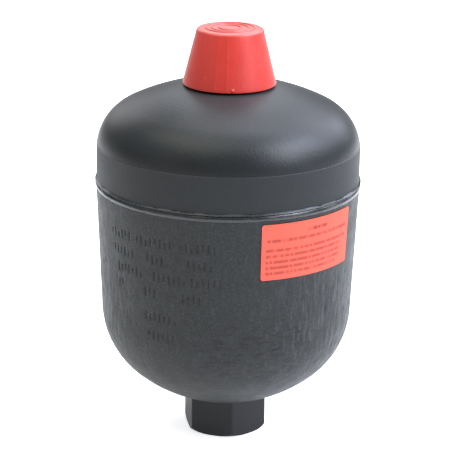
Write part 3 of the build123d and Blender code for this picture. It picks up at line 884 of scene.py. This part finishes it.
def port(paint):
    """The hexagonal oil port with its parallel thread cut into the bore."""
    piece = merged_copy("port_connector", "oil_port_hexagon")
    low = PORT_BOTTOM_Z - PORT_PITCH / 2
    sizes = (THREAD_CREST_RADIUS, THREAD_ROOT_RADIUS, PORT_PITCH)
    combine(piece, thread_cutter("port_tap", *sizes, low, PORT_THREAD_END_Z), "DIFFERENCE")
    install(piece, paint, "vessel", "port_connector", THREAD_EDGE)


def gas_boss(paint):
    """The charging boss with its outside thread cut, as the cap's ribs grip it."""
    piece = merged_copy("gas_boss", "charging_boss_threaded")
    low, high = BOSS_WELD_HIGH.z + BOSS_PLAIN_FOOT, BOSS_HIGH.z + BOSS_PITCH / 2
    sizes = (BOSS_HIGH.x, BOSS_HIGH.x - BOSS_THREAD_DEPTH, BOSS_PITCH)
    combine(piece, thread_cutter("boss_die", *sizes, low, high), "DIFFERENCE")
    install(piece, paint, "vessel", "gas_boss", THREAD_EDGE)


CAP_WALL = 2.0 * MM
CAP_DRAFT = radians(14.1)
CAP_ROUND = 1.4 * MM
CAP_SEGMENTS = 144
CAP_RINGS = (10.0 * MM, 7.6 * MM, 4.6 * MM)
CAP_RING_WIDTH = 0.9 * MM
CAP_RING_HEIGHT = 0.4 * MM
# A ring's section from its outer foot to its inner one, in half widths and heights
CAP_RING_SECTION = ((1, 0), (0.7, 0.75), (0.3, 1), (-0.3, 1), (-0.7, 0.75), (-1, 0))
CAP_RIM_ROUND = 0.35 * MM
CAP_RIM_INSET = CAP_RIM_ROUND * 1.3    # from the rim's radius to the middle of its round edge
CAP_RIM_LAND = CAP_RIM_ROUND * 3       # and to where its flat underside starts
CAP_RIM_STEP = 0.12 * MM
CAP_CONE_STEP = 1.5 * MM
CAP_ROUND_STEP = 0.2 * MM
CAP_SEAM_TURNS = (-19.0, -3.5, 161.0)
CAP_SEAM_WALL = 0.22 * MM
CAP_SEAM_PROUD = 0.07 * MM
CAP_GATE_TURN = radians(4.0)
CAP_GATE_RADIUS = 1.0 * MM
CAP_GATE_INSET = CAP_GATE_RADIUS * 0.75
CAP_RIBS = 6
CAP_RIB_THICKNESS = 1.2 * MM
CAP_RIB_GAP = 0.3 * MM       # between a rib and the boss's thread
CAP_RIB_REST = 2.7 * MM      # how far a rib reaches in over the boss's top
CAP_RIB_CLEAR = 1.0 * MM     # between a rib and the fillet weld


def protective_cap(plastic):
    """The pull-off cap: a hollow cone with raised rings, mould lines, inside ribs and a gate nub."""
    rim_radius = CAP_HIGH.x
    top_z = CAP_HIGH.z - CAP_RING_HEIGHT
    ceiling_z = top_z - CAP_WALL
    top_radius = rim_radius - (top_z - CAP_LOW.z) * tan(CAP_DRAFT)
    bend_radius = top_radius - CAP_ROUND * tan((pi / 2 - CAP_DRAFT) / 2)
    round_centre = (bend_radius, top_z - CAP_ROUND)
    cone_end = (bend_radius + CAP_ROUND * cos(CAP_DRAFT), round_centre[1] + CAP_ROUND * sin(CAP_DRAFT))
    rim_centre = (rim_radius - CAP_RIM_INSET, CAP_LOW.z + CAP_RIM_ROUND)
    outline = [(rim_radius - CAP_RIM_LAND, CAP_LOW.z)]
    outline += bow(rim_centre, CAP_RIM_ROUND, -pi / 2, CAP_DRAFT, CAP_RIM_STEP)
    outline += between(outline[-1], cone_end, CAP_CONE_STEP)
    outline += bow(round_centre, CAP_ROUND, CAP_DRAFT, pi / 2, CAP_ROUND_STEP)
    for ring in CAP_RINGS:
        for out, up in CAP_RING_SECTION:
            outline.append((ring + out * CAP_RING_WIDTH / 2, top_z + up * CAP_RING_HEIGHT))
    inner_rim = rim_radius - CAP_WALL
    inner_top = inner_rim - (ceiling_z - CAP_LOW.z) * tan(CAP_DRAFT)
    outline += [(0, top_z), (0, ceiling_z), (inner_top, ceiling_z), (inner_rim, CAP_LOW.z)]
    piece = turned("pull_off_cap", outline, CAP_SEGMENTS)

    def on_seam(face):
        """The narrow upright strips where the mould's halves meet."""
        at, strip = face.center, 180 / CAP_SEGMENTS
        on_cone = CAP_LOW.z + MM < at.z < top_z - CAP_ROUND and at.xy.dot(face.normal.xy) > 0
        return on_cone and any(abs(azimuth(at) - turn) < strip for turn in CAP_SEAM_TURNS)

    inset_faces(piece, on_seam, CAP_SEAM_WALL, CAP_SEAM_PROUD)
    combine(piece, cap_ribs(ceiling_z), "UNION")
    combine(piece, gate_nub(), "UNION")
    install(piece, plastic, "cap", "protective_cap", CAP_EDGE)


def gate_nub():
    """The nub on the cap's rim where the plastic was let into the mould."""
    reach = CAP_HIGH.x - CAP_GATE_INSET
    place = (reach * sin(CAP_GATE_TURN), -reach * cos(CAP_GATE_TURN), CAP_LOW.z + CAP_GATE_RADIUS)
    sphere = {"segments": 20, "ring_count": 12, "radius": CAP_GATE_RADIUS, "location": place}
    nub = start_piece(bpy.ops.mesh.primitive_uv_sphere_add, "gate_nub", **sphere)
    bpy.ops.object.mode_set(mode="OBJECT")
    bpy.ops.object.transform_apply(location=True)
    return nub


def cap_ribs(ceiling_z):
    """The upright ribs inside the cap, which grip beside the thread and rest on the boss."""
    grip = BOSS_HIGH.x + CAP_RIB_GAP
    shoulder = BOSS_HIGH.x - CAP_RIB_REST
    low = BOSS_WELD_HIGH.z + CAP_RIB_CLEAR
    inset = CAP_WALL / 2

    def wall(z):
        """Radius of the middle of the cap's wall at a height."""
        return CAP_HIGH.x - inset - (z - CAP_LOW.z) * tan(CAP_DRAFT)

    section = [
        (grip, low),
        (grip, BOSS_HIGH.z),
        (shoulder, BOSS_HIGH.z),
        (shoulder, ceiling_z + inset),
        (wall(ceiling_z), ceiling_z + inset),
        (wall(low), low),
    ]
    ribs = drawn("cap_ribs", section + section[:1])
    bpy.ops.mesh.remove_doubles(threshold=MERGE)
    bpy.ops.mesh.edge_face_add()
    bpy.ops.transform.translate(value=(0, -CAP_RIB_THICKNESS / 2, 0))
    bpy.ops.mesh.extrude_region_move(TRANSFORM_OT_translate={"value": (0, CAP_RIB_THICKNESS, 0)})
    bpy.ops.mesh.select_all(action="SELECT")
    bpy.ops.mesh.spin(steps=CAP_RIBS, dupli=True, angle=2 * pi, center=(0, 0, 0), axis=(0, 0, 1))
    close_up()
    return ribs


RUBBER_SEGMENTS = 128
RUBBER_STEP = 3.0 * MM
RUBBER_PASSES = 5            # enough halvings for the section's longest edge


def diaphragm(material):
    """The rubber cup, spun from its CAD solid's section."""
    piece = merged_copy("diaphragm", "moulded_diaphragm")
    open_whole(piece)
    bpy.ops.mesh.bisect(plane_co=(0, 0, 0), plane_no=(0, 1, 0), clear_inner=True, clear_outer=True)
    bpy.ops.mesh.select_all(action="SELECT")
    bpy.ops.mesh.bisect(plane_co=(0, 0, 0), plane_no=(1, 0, 0), clear_inner=True)
    bpy.ops.object.mode_set(mode="OBJECT")

    def too_long(edge):
        """The section's edges longer than one rubber step."""
        start, end = (piece.data.vertices[index].co for index in edge.vertices)
        return (start - end).length > RUBBER_STEP

    for _ in range(RUBBER_PASSES):
        select_where(piece, "EDGE", too_long)
        bpy.ops.mesh.subdivide(number_cuts=1)
        bpy.ops.object.mode_set(mode="OBJECT")
    open_whole(piece)
    bpy.ops.mesh.spin(steps=RUBBER_SEGMENTS, angle=2 * pi, center=(0, 0, 0), axis=(0, 0, 1))
    close_up()
    smooth(piece, RUBBER_EDGE)
    piece.data.materials.append(material)
    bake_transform(piece)
    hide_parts("diaphragm")


# Parts shown as the CAD has them: finish, colour, groove, least and most rough, and the stain's tone
TURNED_PARTS = {
    "clamp_ring": ("turned_ring_steel", (0.46, 0.45, 0.43), 0.5 * MM, 0.28, 0.42, 0.8),
    "valve_button": ("turned_button_steel", (0.50, 0.49, 0.47), 0.4 * MM, 0.22, 0.36, 0.85),
    "charging_screw": ("turned_screw_steel", (0.42, 0.41, 0.38), 0.6 * MM, 0.26, 0.40, 0.7),
}


def finish_node(node, material):
    """Gives a CAD node that is shown as it is its finish."""
    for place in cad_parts[node].material_slots:
        place.material = material


# ---------------------------------------------------------------- studio

EYE_BACK = 0.7936
EYE_ABOVE_SEAM = 0.2337
AIM_BELOW_SEAM = 0.0213
AIM_RIGHT = 0.0001
LENS = 155.9
SENSOR = 36.0
CAMERA_ROLL = radians(0.85)


def camera():
    """The camera looks down a little on the vessel from -Y."""
    cam = bpy.data.objects.new("camera", bpy.data.cameras.new("camera"))
    bpy.context.collection.objects.link(cam)
    cam.data.sensor_width = SENSOR
    cam.data.lens = LENS
    place = Vector((0, -EYE_BACK, SEAM_Z + EYE_ABOVE_SEAM))
    aim = Vector((AIM_RIGHT, 0, SEAM_Z - AIM_BELOW_SEAM))
    turn = (aim - place).to_track_quat("-Z", "Y").to_matrix().to_4x4()
    cam.matrix_world = Matrix.Translation(place) @ turn @ Matrix.Rotation(CAMERA_ROLL, 4, "Z")
    bpy.context.scene.camera = cam


# Round soft panels of light: azimuth, elevation, diameter, and power in red, green and blue
PANEL_DISTANCE = 1.2
PANELS = {
    "back": (180, 34, 0.7, (2.1, 2.3, 2.6)),
    "back_high": (180, 58, 0.7, (4.0, 4.1, 4.3)),
    "back_right_low": (130, 20, 0.5, (1.5, 1.6, 1.9)),
    "back_right": (140, 34, 0.7, (4.2, 4.3, 5.0)),
    "back_left": (-150, 22, 0.6, (1.9, 1.9, 2.0)),
    "right": (100, 32, 0.6, (3.6, 4.1, 4.9)),
    "right_top": (115, 58, 0.7, (4.4, 5.2, 6.3)),
    "right_high": (85, 44, 0.6, (6.6, 7.2, 8.9)),
    "right_front": (60, 32, 0.6, (6.4, 6.9, 8.0)),
    "right_front_high": (62, 50, 0.55, (6.2, 6.5, 7.3)),
    "left": (-95, 34, 0.7, (0.4, 0.6, 0.8)),
    "left_high": (-92, 63, 0.8, (4.0, 4.1, 3.7)),
    "left_front_low": (-62, 28, 0.7, (0.6, 0.6, 0.6)),
    "left_front": (-40, 58, 0.7, (2.7, 2.8, 2.4)),
    "front_high": (0, 66, 0.6, (1.6, 1.6, 1.6)),
    "top": (0, 89, 0.7, (1.8, 1.9, 1.7)),
    "top_back": (150, 75, 0.7, (1.8, 1.8, 2.3)),
}
ROOM_LIGHT = (0.26, 0.26, 0.25, 1.0)
FLOOR_SIZE = 8.0
FLOOR_GLOW = 0.70


def lights():
    """Large soft panels round the vessel and a pale room."""
    centre = Vector((0, 0, SEAM_Z))
    for name, (turn, rise, size, power) in PANELS.items():
        lamp = bpy.data.objects.new(name, bpy.data.lights.new(name, "AREA"))
        bpy.context.collection.objects.link(lamp)
        lamp.data.shape = "DISK"
        lamp.data.size = size
        lamp.data.energy = max(power)
        lamp.data.color = [part / max(power) for part in power]
        turn, rise = radians(turn), radians(rise)
        towards = Vector((sin(turn) * cos(rise), -cos(turn) * cos(rise), sin(rise)))
        lamp.location = centre + towards * PANEL_DISTANCE
        lamp.rotation_mode = "QUATERNION"
        lamp.rotation_quaternion = towards.to_track_quat("Z", "Y")
        lamp.visible_camera = False
    room = bpy.data.worlds.new("room")
    bpy.context.scene.world = room
    room.use_nodes = True
    room.node_tree.nodes["Background"].inputs["Color"].default_value = ROOM_LIGHT


def floor():
    """A plain pale floor."""
    piece = start_piece(bpy.ops.mesh.primitive_plane_add, "studio_floor", size=FLOOR_SIZE)
    bpy.ops.object.mode_set(mode="OBJECT")
    glow = {"Emission_Color": rgb(1, 1, 1), "Emission_Strength": FLOOR_GLOW}
    graph = Graph("studio_floor", Specular_IOR_Level=0.2, **glow)
    tone = graph.noise(0.4, 2.0, 0.5)
    colour = graph.mix(tone, rgb(0.79, 0.79, 0.79), rgb(0.81, 0.81, 0.81))
    piece.data.materials.append(graph.surface(Base_Color=colour, Roughness=0.8))


camera()
lights()
floor()
black_weld = weld_paint()
upper_shell(upper_paint())
lower_shell(lower_paint())
seam_weld(black_weld)
boss_weld(black_weld)
port(port_paint())
gas_boss(boss_paint())
protective_cap(cap_plastic())
diaphragm(rubber("moulded_rubber", 0.018, 0.8 * MM))
finish_node("charging_seal", rubber("ring_rubber", 0.012, 0.5 * MM))
for turned_part, finish in TURNED_PARTS.items():
    finish_node(turned_part, turned_steel(*finish))
finish_node("label", label_film())
bpy.context.scene.view_settings.view_transform = "Standard"
